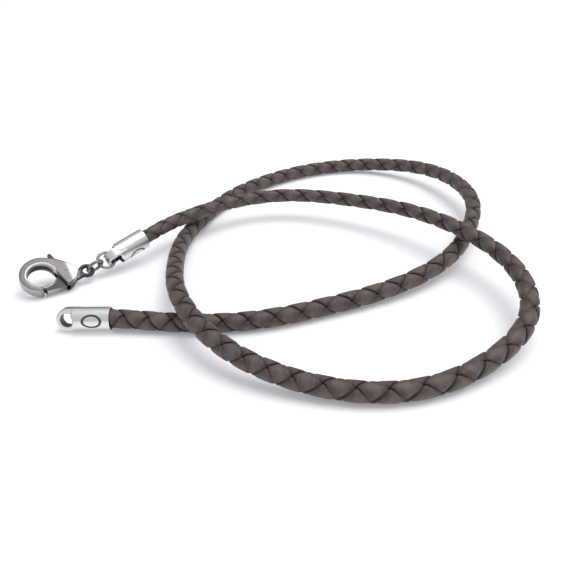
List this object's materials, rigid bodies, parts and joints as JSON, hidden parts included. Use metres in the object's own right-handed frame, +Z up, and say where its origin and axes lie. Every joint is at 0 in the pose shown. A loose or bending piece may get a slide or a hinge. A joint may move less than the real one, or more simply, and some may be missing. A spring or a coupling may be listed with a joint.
{
  "type": "leather cord necklace",
  "caption": "Round braided leather cord laid in two loops, with a metal end cap at each end and a sprung lobster clasp on jump rings.",
  "frame": {"origin": "on the surface the necklace lies on, under the middle of its bounding box", "axes": "+X to the right of the picture, away from the clasp; +Y away from the viewer, along the longest extent; +Z up"},
  "size_m": [0.1116, 0.12, 0.0107],
  "materials": {
    "leather": "satin, dark brown, finely striated",
    "silver": "polished antique silver",
    "pewter": "satin antique pewter"
  },
  "bodies": {
    "necklace": {"lace_1": "leather", "lace_2": "leather", "lace_3": "leather", "lace_4": "leather", "stamped_cap": "silver", "clasp_cap": "silver", "cap_ring": "pewter", "clasp_ring": "pewter", "clasp_body": "pewter", "lever_rivet": "pewter"},
    "lever": {"clasp_lever": "pewter"}
  },
  "joints": [
    {"name": "lever_pivot", "type": "hinge", "parent": "necklace", "child": "lever", "pos_m": [-0.04633, -0.01748, 0.00283], "axis": [-0.2766, 0.3878, -0.8793], "range_deg": [0, 20], "stiffness_Nm_per_rad": 0.01, "springref_deg": -28.65}
  ]
}
